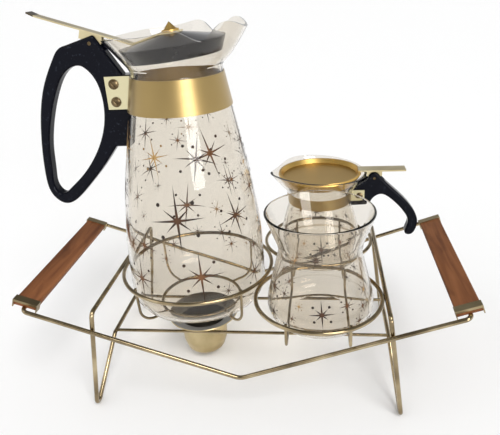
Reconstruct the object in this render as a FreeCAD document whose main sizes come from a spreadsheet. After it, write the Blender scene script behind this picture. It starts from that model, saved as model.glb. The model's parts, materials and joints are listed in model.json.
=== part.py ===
import FreeCAD, Part
import math
import os

# Glass coffee carafe, creamer and sugar bowl on a bent brass-wire warming stand.
# Millimetres, +Z up. X runs along the stand from grip to grip, Y from front to back,
# and the origin is on the table under the middle of the stand.

Vector = FreeCAD.Vector
Placement = FreeCAD.Placement
Rotation = FreeCAD.Rotation
X_AXIS = Vector(1, 0, 0)
Y_AXIS = Vector(0, 1, 0)
Z_AXIS = Vector(0, 0, 1)
FULL_TURN = 2 * math.pi

SIZES = {
    # Wire gauges
    "frame_wire_diameter": 3.8,
    "leg_wire_diameter": 4.0,
    "ring_wire_diameter": 3.5,
    "cross_wire_diameter": 3.0,
    "base_ring_wire_diameter": 3.0,
    "cradle_wire_diameter": 2.4,
    "braze_bite": 0.1,
    # Frame wire, legs and cross wires
    "ring_height": 100.0,
    "grip_reach": 59.2,
    "grip_height": 103.6,
    "dip_height": 39.6,
    "dip_bend": 12.0,
    "wire_bend": 5.0,
    "leg_run_half": 85.0,
    "foot_splay": 13.4,
    "foot_bend": 5.0,
    "lower_run_height": 43.2,
    "lower_run_splay": 7.0,
    "lower_run_overhang": 4.0,
    "cross_wire_spacing": 59.0,
    # Rings, carafe basket and cradles
    "carafe_ring_gap": 5.0,
    "pot_ring_gap": 7.05,
    "basket_wire_lean": 2.0,
    "basket_wire_bend": 14.0,
    "base_ring_radius": 38.0,
    "base_ring_height": 64.0,
    "cradle_offset": 25.0,
    "cradle_height": 79.8,
    "wire_end_rise": 1.0,
    "seat_gap": 0.3,
    "sugar_shift": 1.7,
    "creamer_shift": 2.0,
    # Wooden grips and their brass end caps
    "slat_width": 19.6,
    "slat_thickness": 4.6,
    "slat_groove": 1.2,
    "slat_round": 1.2,
    "slat_end_setback": 0.2,
    "cap_sheet": 0.8,
    "cap_length": 6.5,
    "cap_lip": 2.2,
    "cap_drop": 7.5,
    # Candle cup
    "cup_flange_radius": 34.0,
    "cup_flange_slope": 0.35,
    "cup_well_radius": 21.0,
    "cup_sheet": 0.9,
    "cup_floor_height": 6.0,
    "cup_taper_height": 14.0,
    "cup_floor_radius": 17.5,
    "cup_floor_bend": 8.0,
    "cup_side_bend": 12.0,
    "cup_lip_bend": 3.0,
    # Carafe glass
    "carafe_wall": 2.4,
    "carafe_body_radius": 63.4,
    "carafe_heel_bend": 22.0,
    "carafe_side_height": 84.0,
    "carafe_side_curve": 54.0,
    "carafe_neck_radius": 37.6,
    "carafe_neck_height": 217.0,
    "carafe_neck_bend": 8.0,
    "carafe_flare_start": 4.0,
    "carafe_flare_height": 40.0,
    "carafe_lobe_radius": 59.5,
    "carafe_back_radius": 72.0,
    "carafe_spout_radius": 69.0,
    "carafe_spout_width": 25.0,
    "carafe_notch_depth": 22.0,
    "carafe_notch_angle": 49.0,
    "carafe_notch_width": 16.0,
    "carafe_rim_back": 25.8,
    "carafe_rim_lobe": 33.0,
    "carafe_rim_peak_reach": 15.0,
    "carafe_rim_notch": 24.0,
    "carafe_rim_spout": 31.0,
    # Carafe collar, handle and hinge
    "carafe_collar_setback": 3.0,
    "carafe_collar_width": 27.3,
    "carafe_collar_sheet": 0.9,
    "carafe_lug_reach": 60.5,
    "carafe_screw_reach": 53.0,
    "carafe_screw_spacing": 14.7,
    "carafe_screw_diameter": 4.0,
    "carafe_screw_head": 8.5,
    "carafe_screw_head_height": 1.6,
    "carafe_handle_thickness": 12.5,
    "carafe_handle_round": 2.8,
    "carafe_pin_reach": 68.4,
    "carafe_pin_rise": 23.8,
    "carafe_pin_diameter": 3.0,
    "carafe_peak_reach": 65.1,
    "carafe_peak_rise": 30.2,
    "carafe_peak_bend": 2.5,
    "carafe_shoulder_reach": 44.9,
    "carafe_shoulder_drop": 2.1,
    "carafe_slot_width": 7.5,
    "carafe_slot_reach": 13.0,
    "carafe_slot_depth": 6.5,
    # Carafe lid
    "carafe_lid_tilt": 5.0,
    "carafe_lid_bottom": 10.5,
    "carafe_lid_skirt": 11.0,
    "carafe_lid_dome": 7.0,
    "carafe_lid_wall": 2.2,
    "carafe_lid_clearance": 0.7,
    "carafe_lid_pad": 9.0,
    "carafe_knob_radius": 7.0,
    "carafe_knob_height": 7.5,
    "carafe_knob_stud": 4.0,
    "carafe_knob_nut": 9.0,
    "carafe_knob_nut_height": 2.0,
    "carafe_lever_tilt": 18.0,
    "carafe_lever_rise": 7.8,
    "carafe_lever_reach": 54.8,
    "carafe_lever_width": 10.5,
    "carafe_lever_sheet": 1.2,
    "carafe_lever_bend": 4.0,
    "carafe_cheek_outer": 10.4,
    "carafe_cheek_inner": 8.3,
    "carafe_cheek_skirt": 6.8,
    "carafe_cheek_sheet": 1.2,
    "carafe_cheek_radius": 4.5,
    "hinge_side_gap": 0.4,
    "hinge_running_gap": 0.08,
    # Glass of the creamer and the sugar bowl
    "pot_wall": 2.0,
    "pot_body_radius": 43.8,
    "pot_heel_bend": 15.0,
    "pot_side_height": 22.0,
    "pot_side_bend": 60.0,
    "sugar_waist_radius": 32.8,
    "sugar_waist_height": 66.0,
    "sugar_waist_bend": 18.0,
    "sugar_rim_radius": 43.8,
    "sugar_height": 96.3,
    "creamer_waist_radius": 28.6,
    "creamer_waist_height": 68.0,
    "creamer_waist_bend": 12.0,
    "creamer_flare_start": 8.0,
    "creamer_flare_height": 30.0,
    "creamer_lobe_radius": 52.5,
    "creamer_back_radius": 58.0,
    "creamer_spout_radius": 59.5,
    "creamer_spout_width": 15.0,
    "creamer_notch_depth": 2.0,
    "creamer_notch_angle": 30.0,
    "creamer_notch_width": 12.0,
    "creamer_rim_back": 20.6,
    "creamer_rim_lobe": 26.4,
    "creamer_rim_peak_reach": 14.0,
    "creamer_rim_notch": 25.2,
    "creamer_rim_spout": 23.6,
    # Creamer collar, handle and hinge
    "creamer_collar_radius": 31.7,
    "creamer_collar_width": 11.0,
    "creamer_collar_sheet": 0.9,
    "creamer_lug_reach": 42.8,
    "creamer_screw_reach": 38.2,
    "creamer_screw_diameter": 3.0,
    "creamer_screw_head": 6.0,
    "creamer_screw_head_height": 1.2,
    "creamer_handle_thickness": 11.0,
    "creamer_handle_round": 2.0,
    "creamer_pin_reach": 51.8,
    "creamer_pin_rise": 17.0,
    "creamer_pin_diameter": 2.5,
    "creamer_ear_radius": 5.6,
    "creamer_slot_width": 6.4,
    "creamer_slot_reach": 10.0,
    "creamer_slot_depth": 5.4,
    # Creamer lid
    "creamer_lid_rise": 24.0,
    "creamer_lid_skirt": 8.5,
    "creamer_lid_recess": 4.0,
    "creamer_lid_rim": 1.6,
    "creamer_lid_sheet": 1.0,
    "creamer_lid_clearance": 0.6,
    "creamer_lever_reach": 28.9,
    "creamer_lever_overlap": 3.0,
    "creamer_lever_width": 12.5,
    "creamer_lever_sheet": 1.4,
    "creamer_cheek_outer": 7.3,
    "creamer_cheek_inner": 7.0,
    "creamer_cheek_skirt": 5.6,
    "creamer_cheek_sheet": 1.2,
    "creamer_cheek_radius": 3.8,
}

doc = FreeCAD.newDocument("carafe_service")
sheet = doc.addObject("Spreadsheet::Sheet", "sizes")
for row, (alias, value) in enumerate(SIZES.items(), start=1):
    sheet.set(f"A{row}", alias)
    sheet.set(f"B{row}", str(value))
    sheet.setAlias(f"B{row}", alias)
doc.recompute()

NODES = []


def size(alias):
    """A driving dimension, read from the sheet."""
    return float(sheet.get(alias))


def bind(item, expressions):
    """Tie properties of a document object to the sheet."""
    for name, expression in expressions.items():
        item.setExpression(name, expression)


def node(item, label, placement=None):
    """Register a finished sub-part under the name its file gets."""
    if placement is not None:
        item.Placement = placement
    item.Label = label
    NODES.append(item)
    return item


# Paths, profiles and outlines

def turn_at(before, corner, after):
    """Angle by which a path turns at a corner."""
    return (corner - before).getAngle(after - corner)


def rounded_edges(corners, bends):
    """Straight runs with a tangent arc of the given radius at each inner corner."""
    edges = []
    start = corners[0]
    for before, corner, after, bend in zip(corners, corners[1:], corners[2:], bends):
        back = (before - corner).normalize()
        ahead = (after - corner).normalize()
        half = back.getAngle(ahead) / 2
        reach = bend / math.tan(half)
        middle = corner + (back + ahead).normalize() * (bend / math.sin(half) - bend)
        entry = corner + back * reach
        leave = corner + ahead * reach
        edges.append(Part.LineSegment(start, entry).toShape())
        edges.append(Part.Arc(entry, middle, leave).toShape())
        start = leave
    edges.append(Part.LineSegment(start, corners[-1]).toShape())
    return edges


def line_meet(first, first_way, second, second_way):
    """Where two lines in the XZ plane cross."""
    cross = first_way.x * second_way.z - first_way.z * second_way.x
    gap = second - first
    along = (gap.x * second_way.z - gap.z * second_way.x) / cross
    return first + first_way * along


def offset_corners(corners, distance):
    """Corners of a profile moved inwards, to the left of its run in the XZ plane."""
    ways = [(after - before).normalize() for before, after in zip(corners, corners[1:])]
    shifts = [Vector(-way.z, 0, way.x) * distance for way in ways]
    moved = [corners[0] + shifts[0]]
    for index in range(1, len(corners) - 1):
        moved.append(line_meet(corners[index] + shifts[index - 1], ways[index - 1],
                               corners[index] + shifts[index], ways[index]))
    moved.append(corners[-1] + shifts[-1])
    return moved


def level_end(corners, height):
    """Run the last straight of a profile on until it ends at a height."""
    way = corners[-1] - corners[-2]
    return corners[:-1] + [line_meet(corners[-2], way, Vector(0, 0, height), X_AXIS)]


def inner_bends(corners, bends, wall):
    """Bend radii of the inner wall: smaller on outside corners, larger on inside ones."""
    changed = []
    for before, corner, after, bend in zip(corners, corners[1:], corners[2:], bends):
        left_turn = (corner - before).cross(after - corner).y < 0
        changed.append(bend - wall if left_turn else bend + wall)
    return changed


def face_feature(name, edges):
    """Flat face inside a closed run of edges."""
    item = doc.addObject("Part::Feature", name)
    item.Shape = Part.Face(Part.Wire(edges))
    return item


def spun(name, edges):
    """Solid turned about the Z axis from a closed profile."""
    item = doc.addObject("Part::Revolution", name)
    item.Source = face_feature(name + "_profile", edges)
    item.Axis = Z_AXIS
    item.Base = Vector(0, 0, 0)
    item.Angle = 360
    item.Solid = True
    return item


def spun_solid(name, corners, bends):
    """Turned solid under a profile that starts on the axis; its top is flat."""
    top = Vector(0, 0, corners[-1].z)
    edges = rounded_edges(corners, bends)
    edges.append(Part.LineSegment(corners[-1], top).toShape())
    edges.append(Part.LineSegment(top, corners[0]).toShape())
    return spun(name, edges)


def spun_wall(name, corners, bends, wall, round_rim):
    """Turned wall of even thickness whose outside follows a profile from the axis."""
    inside = offset_corners(corners, wall)
    rim_out = corners[-1]
    rim_in = inside[-1]
    edges = rounded_edges(corners, bends)
    if round_rim:
        crown = (rim_out + rim_in) * 0.5 + (corners[-1] - corners[-2]).normalize() * (wall / 2)
        edges.append(Part.Arc(rim_out, crown, rim_in).toShape())
    else:
        edges.append(Part.LineSegment(rim_out, rim_in).toShape())
    edges.extend(rounded_edges(inside[::-1], inner_bends(corners, bends, wall)[::-1]))
    edges.append(Part.LineSegment(inside[0], corners[0]).toShape())
    return spun(name, edges)


def extruded(name, edges, thickness):
    """Plate with a flat outline in the XZ plane, centred on that plane."""
    item = doc.addObject("Part::Extrusion", name)
    item.Base = face_feature(name + "_outline", edges)
    item.DirMode = "Custom"
    item.Dir = Y_AXIS
    item.Solid = True
    item.Symmetric = True
    bind(item, {"LengthFwd": thickness})
    return item


def curve_through(points, closed=False):
    """Smooth curve through a few points of the XZ plane."""
    curve = Part.BSplineCurve()
    curve.interpolate([Vector(x, 0, z) for x, z in points], PeriodicFlag=closed)
    return curve.toShape()


# Booleans and simple solids

def cut(name, base, tool):
    item = doc.addObject("Part::Cut", name)
    item.Base = base
    item.Tool = tool
    return item


def fused(name, pieces):
    item = doc.addObject("Part::MultiFuse", name)
    item.Shapes = pieces
    item.Refine = True
    return item


def grouped(name, pieces):
    item = doc.addObject("Part::Compound", name)
    item.Links = pieces
    return item


def box(name, expressions):
    item = doc.addObject("Part::Box", name)
    bind(item, expressions)
    return item


def bar(name, radius, length, centre, direction):
    """Round bar centred on a point."""
    item = doc.addObject("Part::Cylinder", name)
    bind(item, {"Radius": radius, "Height": length})
    doc.recompute()
    turn = Rotation(Z_AXIS, direction)
    item.Placement = Placement(centre - direction * (item.Height.Value / 2), turn)
    return item


def torus(name, radius, wire, centre):
    item = doc.addObject("Part::Torus", name)
    bind(item, {"Radius1": radius, "Radius2": f"sizes.{wire} / 2"})
    item.Placement = Placement(centre, Rotation())
    return item


def swept(name, corners, bends, section):
    """Section carried along a bent path; it is drawn flat and stood up at the start."""
    path = doc.addObject("Part::Feature", name + "_path")
    path.Shape = Part.Wire(rounded_edges(corners, bends))
    item = doc.addObject("Part::Sweep", name)
    item.Sections = [section]
    item.Spine = (path, [f"Edge{index + 1}" for index in range(len(path.Shape.Edges))])
    item.Solid = True
    item.Frenet = False
    return item


def bent_wire(name, corners, bends, gauge):
    """Round wire along straight runs and tangent bends."""
    section = doc.addObject("Part::Circle", name + "_section")
    bind(section, {"Radius": f"sizes.{gauge} / 2"})
    section.Placement = Placement(corners[0], Rotation(Z_AXIS, corners[1] - corners[0]))
    return swept(name, corners, bends, section)


def mirrored_wire(name, corners, bends, gauge):
    """Closed wire loop, made of its front half and the mirror image behind it."""
    half = bent_wire(name + "_front", corners, bends, gauge)
    image = doc.addObject("Part::Mirroring", name + "_back")
    image.Source = half
    image.Normal = Y_AXIS
    return fused(name, [half, image])


# Layout of the stand, worked out so that the rings touch each other and the legs

frame_wire = size("frame_wire_diameter")
leg_wire = size("leg_wire_diameter")
ring_wire = size("ring_wire_diameter")
cross_wire = size("cross_wire_diameter")
cradle_wire = size("cradle_wire_diameter")
bite = size("braze_bite")
ring_height = size("ring_height")
grip_height = size("grip_height")
wire_bend = size("wire_bend")

CARAFE_RING = "sizes.carafe_body_radius + sizes.carafe_ring_gap + sizes.ring_wire_diameter / 2"
POT_RING = "sizes.pot_body_radius + sizes.pot_ring_gap + sizes.ring_wire_diameter / 2"
carafe_ring_radius = size("carafe_body_radius") + size("carafe_ring_gap") + ring_wire / 2
pot_ring_radius = size("pot_body_radius") + size("pot_ring_gap") + ring_wire / 2
ring_touch = ring_wire - bite
leg_touch = (ring_wire + leg_wire) / 2 - bite
pot_y = pot_ring_radius + ring_touch / 2
ring_to_ring = carafe_ring_radius + pot_ring_radius + ring_touch
ring_advance = math.sqrt(ring_to_ring ** 2 - pot_y ** 2)
leg_x = (carafe_ring_radius + pot_ring_radius + ring_advance) / 2 + leg_touch
carafe_x = carafe_ring_radius + leg_touch - leg_x
pot_x = leg_x - leg_touch - pot_ring_radius
grip_x = leg_x + size("grip_reach")
leg_y = size("leg_run_half")
frame_y = leg_y + (frame_wire + leg_wire) / 2 - bite
lower_x = leg_x + size("lower_run_splay")
lower_z = size("lower_run_height")
cross_y = size("cross_wire_spacing") / 2

carafe_base = size("base_ring_height") + size("base_ring_wire_diameter") / 2 + size("seat_gap")
pot_base = size("cradle_height") + cradle_wire / 2 + size("seat_gap")
CARAFE_PLACE = Placement(Vector(carafe_x, 0, carafe_base), Rotation())
SUGAR_PLACE = Placement(Vector(pot_x + size("sugar_shift"), -pot_y, pot_base), Rotation())
CREAMER_PLACE = Placement(Vector(pot_x + size("creamer_shift"), pot_y, pot_base), Rotation(Z_AXIS, 180))


# Stand

def foot_corner(top, low, bend):
    """Corner of a hairpin foot, as low as lets the underside of its bend meet the table."""
    corner = Vector(top.x, top.y, 0)
    for _ in range(8):
        outer = (top - corner).normalize()
        inner = (low - corner).normalize()
        half = outer.getAngle(inner) / 2
        centre = (outer + inner).normalize() * (bend / math.sin(half))
        upright = outer.cross(inner).normalize()
        lowest = corner.z + centre.z - bend * math.sqrt(1 - upright.z ** 2)
        corner.z += leg_wire / 2 - lowest
    return corner


def leg_loop(name, side):
    top = Vector(side * leg_x, -leg_y, ring_height)
    low = Vector(side * lower_x, -cross_y - size("lower_run_overhang"), lower_z)
    splayed = Vector(side * (leg_x + size("foot_splay")), -leg_y, ring_height)
    foot = foot_corner(splayed, low, size("foot_bend"))
    corners = [Vector(top.x, 0, top.z), top, foot, low, Vector(low.x, 0, low.z)]
    return mirrored_wire(name, corners, [wire_bend, size("foot_bend"), wire_bend], "leg_wire_diameter")


def frame_loop():
    corner = Vector(grip_x, -frame_y, grip_height)
    far_corner = Vector(-grip_x, -frame_y, grip_height)
    dip = Vector(0, -frame_y, size("dip_height"))
    corners = [Vector(grip_x, 0, grip_height), corner, dip, far_corner, Vector(-grip_x, 0, grip_height)]
    return mirrored_wire("frame_wire", corners, [wire_bend, size("dip_bend"), wire_bend], "frame_wire_diameter")


def cross_bar(name, y, legs):
    """Straight wire coped against the lower runs of both legs."""
    rod = doc.addObject("Part::Cylinder", name + "_rod")
    bind(rod, {"Radius": "sizes.cross_wire_diameter / 2"})
    rod.Height = 2 * lower_x
    rod.Placement = Placement(Vector(-lower_x, y, lower_z), Rotation(Z_AXIS, X_AXIS))
    return cut(name, rod, legs)


def basket_wires(base_ring):
    """Four wires that hang from the carafe's ring and are coped against the base ring."""
    top_radius = carafe_ring_radius - (ring_wire + cradle_wire) / 2 + bite
    knee_radius = top_radius - size("basket_wire_lean")
    end_radius = size("base_ring_radius")
    low = size("base_ring_height")
    wires = []
    for number in range(4):
        angle = math.radians(45 + 90 * number)
        out = Vector(math.cos(angle), math.sin(angle), 0)
        centre = Vector(carafe_x, 0, 0)
        corners = [
            centre + out * top_radius + Z_AXIS * (ring_height + size("wire_end_rise")),
            centre + out * knee_radius + Z_AXIS * low,
            centre + out * end_radius + Z_AXIS * low,
        ]
        wires.append(bent_wire(f"basket_wire_{number}", corners, [size("basket_wire_bend")], "cradle_wire_diameter"))
    return cut("basket_wires", grouped("basket_blanks", wires), base_ring)


def cradle_wires(name, y):
    """Two U wires that hang front to back from a pot's ring."""
    hang_radius = pot_ring_radius - (ring_wire + cradle_wire) / 2 + bite
    offset = size("cradle_offset")
    half = math.sqrt(hang_radius ** 2 - offset ** 2)
    top = ring_height + size("wire_end_rise")
    low = size("cradle_height")
    wires = []
    for side in (-1, 1):
        x = pot_x + side * offset
        corners = [
            Vector(x, y - half, top),
            Vector(x, y - half, low),
            Vector(x, y + half, low),
            Vector(x, y + half, top),
        ]
        label = "left" if side < 0 else "right"
        wires.append(bent_wire(f"{name}_{label}", corners, [wire_bend, wire_bend], "cradle_wire_diameter"))
    return grouped(name, wires)


# Each grip is drawn flat over the wire's axis, then tilted to lie in the slope of the frame wire

slat_length = 2 * (frame_y - wire_bend - size("slat_end_setback"))
slat_low = frame_wire / 2 - size("slat_groove")
slat_high = slat_low + size("slat_thickness")
grip_slope = math.degrees(math.atan2(grip_height - size("dip_height"), grip_x))


def top_long_edges(shape):
    """Numbers of the two long upper edges of a slat, for rounding."""
    numbers = []
    for index, edge in enumerate(shape.Edges, start=1):
        spans = edge.BoundBox
        if spans.YLength > spans.XLength and spans.ZMin > slat_high - 0.01:
            numbers.append(index)
    return numbers


def grip_slat(name):
    """Wooden slat with rounded upper edges, grooved underneath for the frame wire."""
    blank = box(name + "_blank", {"Length": "sizes.slat_width", "Height": "sizes.slat_thickness"})
    blank.Width = slat_length
    blank.Placement = Placement(Vector(-size("slat_width") / 2, -slat_length / 2, slat_low), Rotation())
    doc.recompute()
    eased = doc.addObject("Part::Fillet", name + "_eased")
    eased.Base = blank
    radius = size("slat_round")
    eased.Edges = [(number, radius, radius) for number in top_long_edges(blank.Shape)]
    groove = doc.addObject("Part::Cylinder", name + "_groove")
    bind(groove, {"Radius": "sizes.frame_wire_diameter / 2"})
    groove.Height = slat_length
    groove.Placement = Placement(Vector(0, -slat_length / 2, 0), Rotation(Z_AXIS, Y_AXIS))
    return cut(name, eased, groove)


def end_cap(name, end):
    """Sheet-brass cap over the end of a slat: a top with a small lip and two side flanges."""
    skin = size("cap_sheet")
    width = size("slat_width")
    length = size("cap_length")
    low = slat_high + skin - size("cap_drop")
    shell = box(name + "_shell", {
        "Length": "sizes.slat_width + 2 * sizes.cap_sheet",
        "Width": "sizes.cap_length + sizes.cap_sheet",
        "Height": "sizes.cap_drop",
    })
    shell.Placement = Placement(Vector(-width / 2 - skin, slat_length / 2 - length, low), Rotation())
    room = box(name + "_room", {
        "Length": "sizes.slat_width",
        "Width": "2 * sizes.cap_length",
        "Height": "sizes.cap_drop",
    })
    room.Placement = Placement(Vector(-width / 2, slat_length / 2 - 2 * length, slat_high - size("cap_drop")),
                               Rotation())
    window = box(name + "_window", {
        "Length": "sizes.slat_width",
        "Width": "4 * sizes.cap_sheet",
        "Height": "sizes.cap_drop",
    })
    window.Placement = Placement(
        Vector(-width / 2, slat_length / 2 - skin, slat_high + skin - size("cap_lip") - size("cap_drop")), Rotation())
    cap = cut(name, shell, fused(name + "_waste", [room, window]))
    if end < 0:
        cap.Placement = Placement(Vector(0, 0, 0), Rotation(Z_AXIS, 180))
    return cap


def grip(label, side):
    place = Placement(Vector(side * grip_x, 0, grip_height), Rotation(Y_AXIS, -side * grip_slope))
    node(grip_slat(f"{label}_slat"), f"{label}_grip_slat", place)
    caps = [end_cap(f"{label}_front_cap", -1), end_cap(f"{label}_back_cap", 1)]
    node(grouped(f"{label}_caps", caps), f"{label}_end_caps", place)


def candle_cup():
    """Spun brass cup whose sloping flange hangs on the two cross wires."""
    skin = size("cup_sheet")
    slope = size("cup_flange_slope")
    floor = size("cup_floor_height")
    side = size("cup_well_radius") + skin
    edge = size("cup_flange_radius")
    over_wire = lower_z + (cross_wire - bite) / 2 * math.sqrt(1 + slope ** 2)
    corners = [
        Vector(0, 0, floor),
        Vector(size("cup_floor_radius"), 0, floor),
        Vector(side, 0, floor + size("cup_taper_height")),
        Vector(side, 0, over_wire + slope * (side - cross_y)),
        Vector(edge, 0, over_wire + slope * (edge - cross_y)),
    ]
    bends = [size("cup_floor_bend"), size("cup_side_bend"), size("cup_lip_bend")]
    cup = spun_wall("candle_cup", corners, bends, skin, False)
    return node(cup, "candle_cup", Placement(Vector(carafe_x, 0, 0), Rotation()))


def stand():
    node(frame_loop(), "frame_wire")
    left_leg = node(leg_loop("left_leg_wire", -1), "left_leg_wire")
    right_leg = node(leg_loop("right_leg_wire", 1), "right_leg_wire")
    legs = grouped("both_legs", [left_leg, right_leg])
    node(cross_bar("front_cross_wire", -cross_y, legs), "front_cross_wire")
    node(cross_bar("back_cross_wire", cross_y, legs), "back_cross_wire")
    rings = {
        "carafe_ring": (CARAFE_RING, Vector(carafe_x, 0, ring_height)),
        "sugar_ring": (POT_RING, Vector(pot_x, -pot_y, ring_height)),
        "creamer_ring": (POT_RING, Vector(pot_x, pot_y, ring_height)),
    }
    for label, (radius, centre) in rings.items():
        node(torus(label, radius, "ring_wire_diameter", centre), label)
    base_centre = Vector(carafe_x, 0, size("base_ring_height"))
    base = torus("carafe_base_ring", "sizes.base_ring_radius", "base_ring_wire_diameter", base_centre)
    node(base, "carafe_base_ring")
    node(basket_wires(base), "carafe_basket_wires")
    node(cradle_wires("sugar_cradle_wires", -pot_y), "sugar_cradle_wires")
    node(cradle_wires("creamer_cradle_wires", pot_y), "creamer_cradle_wires")
    grip("left", -1)
    grip("right", 1)
    candle_cup()


# Glass with a flared, pinched pouring rim. Each vessel is drawn about its own axis with the spout
# towards +X and the handle towards -X, and is put in its place on the stand at the end.

class Flare:
    """Outline of a flared neck at any height above the point where the flare starts."""

    def __init__(self, prefix, start_radius, start_height):
        self.prefix = prefix
        self.start_radius = start_radius
        self.start_height = start_height
        self.height = size(prefix + "_flare_height")

    def bump(self, angle, centre, width):
        return math.exp(-((math.degrees(angle) - centre) / width) ** 2)

    def radius(self, angle, height, inset):
        """Radius at an angle from the spout; the pinch beside the spout deepens towards the rim."""
        share = max(0.0, (height - self.start_height) / self.height)
        turn = abs(math.remainder(angle, FULL_TURN))
        lobe = size(self.prefix + "_lobe_radius")
        back = (size(self.prefix + "_back_radius") - lobe) * max(0.0, -math.cos(turn)) ** 2
        spout = size(self.prefix + "_spout_radius") - lobe
        spout *= self.bump(turn, 0, size(self.prefix + "_spout_width"))
        notch = size(self.prefix + "_notch_depth")
        notch *= self.bump(turn, size(self.prefix + "_notch_angle"), size(self.prefix + "_notch_width"))
        reach = (lobe + back - self.start_radius) * share
        return self.start_radius + reach + spout * math.sqrt(share) - notch * share ** 3 - inset

    def least(self, height_at, inset):
        """Smallest radius round the neck, at a height that may change with the angle."""
        angles = [FULL_TURN * step / 72 for step in range(72)]
        return min(self.radius(angle, height_at(angle), inset) for angle in angles)

    def section(self, name, share, inset):
        height = self.start_height + share * self.height
        item = doc.addObject("Part::Feature", name)
        if share == 0:
            rim = Part.Circle(Vector(0, 0, height), Z_AXIS, self.start_radius - inset)
        else:
            points = []
            for step in range(40):
                angle = FULL_TURN * step / 40
                radius = self.radius(angle, height, inset)
                points.append(Vector(radius * math.cos(angle), radius * math.sin(angle), height))
            rim = Part.BSplineCurve()
            rim.interpolate(points, PeriodicFlag=True)
        item.Shape = Part.Wire([rim.toShape()])
        return item

    def loft(self, name, inset):
        item = doc.addObject("Part::Loft", name)
        item.Sections = [self.section(f"{name}_{step}", step / 4, inset) for step in range(5)]
        item.Solid = True
        item.Ruled = False
        return item


def rim_waste(prefix, neck_height):
    """Block above the wavy rim; the rim is low at the handle and in the notch beside the spout."""
    lobe = size(prefix + "_lobe_radius")
    back = size(prefix + "_back_radius")
    notch_angle = math.radians(size(prefix + "_notch_angle"))
    notch_x = lobe * math.cos(notch_angle) * 0.78
    far = 2 * back
    heights = {key: neck_height + size(f"{prefix}_rim_{key}") for key in ("back", "lobe", "notch", "spout")}
    wave = [
        (-lobe, heights["back"]),
        (-lobe / 2, (heights["back"] + heights["lobe"]) / 2),
        (0, heights["back"] * 0.15 + heights["lobe"] * 0.85),
        (size(prefix + "_rim_peak_reach"), heights["lobe"]),
        (notch_x, heights["notch"]),
        (notch_x + (lobe - notch_x) * 0.27, heights["spout"]),
        (lobe, heights["spout"]),
    ]
    high = neck_height + 2 * size(prefix + "_flare_height")
    corners = [Vector(lobe, 0, heights["spout"]), Vector(far, 0, heights["spout"]), Vector(far, 0, high),
               Vector(-far, 0, high), Vector(-far, 0, heights["back"]), Vector(-lobe, 0, heights["back"])]
    edges = [curve_through(wave)]
    edges.extend(Part.LineSegment(a, b).toShape() for a, b in zip(corners, corners[1:]))
    return extruded(prefix + "_rim_waste", edges, f"4 * sizes.{prefix}_back_radius")


def pouring_glass(prefix, corners, bends, wall, neck_height):
    """Glass wall between two turned bodies with lofted necks, trimmed to the wavy rim."""
    start = corners[-1]
    flare = Flare(prefix, start.x, start.z)
    outside = fused(prefix + "_outside", [
        spun_solid(prefix + "_outer_body", corners, bends), flare.loft(prefix + "_outer_neck", 0)])
    inner = level_end(offset_corners(corners, wall), start.z)
    hollow_body = spun_solid(prefix + "_inner_body", inner, inner_bends(corners, bends, wall))
    inset = start.x - inner[-1].x
    inside = fused(prefix + "_inside", [hollow_body, flare.loft(prefix + "_inner_neck", inset)])
    shell = cut(prefix + "_shell", outside, inside)
    glass = cut(prefix + "_glass", shell, rim_waste(prefix, neck_height))
    return glass, outside, flare, inset


# Collar, screws, hinge pin and lever strap, alike on the carafe and the creamer

def through_pin(name, radius, length, x, z):
    """Round bar across the vessel, along Y."""
    return bar(name, radius, length, Vector(x, 0, z), Y_AXIS)


def collar_screw(prefix, name, z):
    """Screw through both lugs and the handle, with a low domed head at each end."""
    x = -size(prefix + "_screw_reach")
    outer = size(prefix + "_handle_thickness") / 2 + size(prefix + "_collar_sheet")
    rise = size(prefix + "_screw_head_height")
    head = size(prefix + "_screw_head") / 2
    shank = size(prefix + "_screw_diameter") / 2
    crown = head * 0.55
    half = [
        Vector(0, 0, outer + rise),
        Vector(crown, 0, outer + rise),
        Vector(head, 0, outer + rise * 0.45),
        Vector(head, 0, outer),
        Vector(shank, 0, outer),
    ]
    outline = half + [Vector(point.x, 0, -point.z) for point in reversed(half)]
    outline.append(outline[0])
    edges = [Part.LineSegment(a, b).toShape() for a, b in zip(outline, outline[1:])]
    screw = spun(name, edges)
    screw.Placement = Placement(Vector(x, 0, z), Rotation(Z_AXIS, Y_AXIS))
    hole = through_pin(name + "_hole", f"sizes.{prefix}_screw_diameter / 2",
                       f"4 * sizes.{prefix}_handle_thickness", x, z)
    return screw, hole


def collar(prefix, band, low, glass_outside, holes):
    """Band split at the handle, with its two ends turned out as flat lugs beside the handle."""
    width = f"sizes.{prefix}_collar_width"
    thickness = size(prefix + "_handle_thickness")
    reach = size(prefix + "_lug_reach")
    lug = box(prefix + "_lugs", {
        "Length": f"sizes.{prefix}_lug_reach",
        "Width": f"sizes.{prefix}_handle_thickness + 2 * sizes.{prefix}_collar_sheet",
        "Height": width,
    })
    lug.Placement = Placement(Vector(-reach, -thickness / 2 - size(prefix + "_collar_sheet"), low), Rotation())
    split = box(prefix + "_split", {
        "Length": f"2 * sizes.{prefix}_lug_reach",
        "Width": f"sizes.{prefix}_handle_thickness",
        "Height": f"3 * {width}",
    })
    split.Placement = Placement(Vector(-2 * reach, -thickness / 2, low - size(prefix + "_collar_width")), Rotation())
    blank = fused(prefix + "_collar_blank", [band, lug])
    waste = fused(prefix + "_collar_waste", [glass_outside, split] + holes)
    return cut(prefix + "_collar", blank, waste)


def hinge_pin(prefix, x, z, place):
    """Pin through both ears of the handle, and the hole it sits in."""
    radius = f"sizes.{prefix}_pin_diameter / 2"
    pin = through_pin(prefix + "_hinge_pin", radius,
                      f"sizes.{prefix}_handle_thickness + sizes.{prefix}_pin_diameter / 5", x, z)
    node(pin, prefix + "_hinge_pin", place.multiply(pin.Placement))
    return through_pin(prefix + "_pin_seat", radius, f"2 * sizes.{prefix}_handle_thickness", x, z)


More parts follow.
